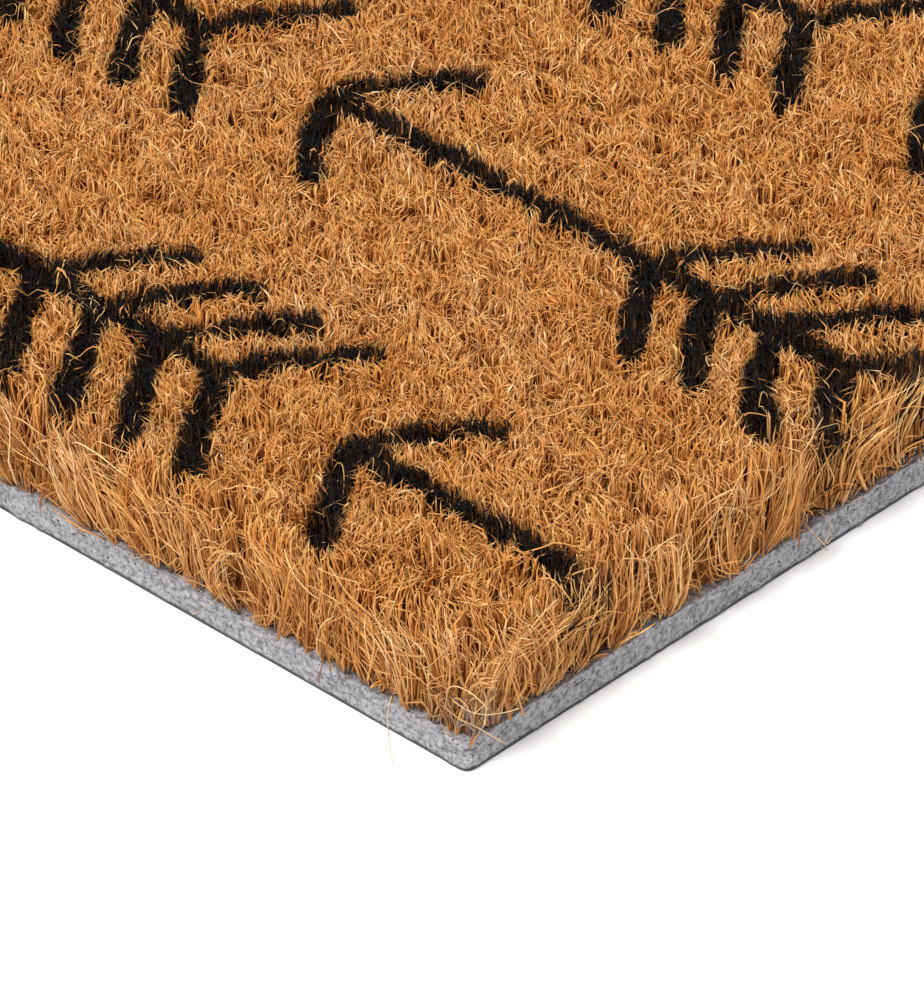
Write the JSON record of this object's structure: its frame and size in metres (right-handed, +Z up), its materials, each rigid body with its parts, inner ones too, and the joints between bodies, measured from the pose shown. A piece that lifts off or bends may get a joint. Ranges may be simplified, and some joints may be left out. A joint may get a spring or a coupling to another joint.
{
  "type": "door mat",
  "caption": "Rectangular coir door mat: upright coir pile with an all-over printed pattern of arrows, a splayed fringe at the cut edges and a flat foamed PVC backing.",
  "frame": {"origin": "on the floor, under the middle of the mat", "axes": "+X along the long side, towards the end that the printed arrows come from (they point along -X); +Y from the front edge to the back edge; +Z up, out of the pile"},
  "size_m": [0.604, 0.404, 0.015],
  "materials": {
    "coir_natural": "golden brown coir fibre, matt, with paler and darker single fibres",
    "coir_dyed": "coir fibre with tips dyed near black, slightly glossy",
    "pvc_foam": "mid grey foamed PVC, rough cut, with dark specks",
    "pvc_skin": "dark grey dense PVC skin, fine pebbled grip texture"
  },
  "bodies": {
    "root": {"backing_skin": "pvc_skin", "pvc_foam_backing": "pvc_foam", "bedded_root_layer": "pvc_foam", "natural_ground_pile": "coir_natural", "dyed_arrow_row_01": "coir_dyed", "dyed_arrow_row_02": "coir_dyed", "dyed_arrow_row_03": "coir_dyed", "dyed_arrow_row_04": "coir_dyed", "dyed_arrow_row_05": "coir_dyed", "dyed_arrow_row_06": "coir_dyed", "dyed_arrow_row_07": "coir_dyed", "dyed_arrow_row_08": "coir_dyed", "dyed_arrow_row_09": "coir_dyed", "dyed_arrow_row_10": "coir_dyed", "fringe_front": "coir_natural", "fringe_right": "coir_natural", "fringe_back": "coir_natural", "fringe_left": "coir_natural"}
  },
  "joints": []
}
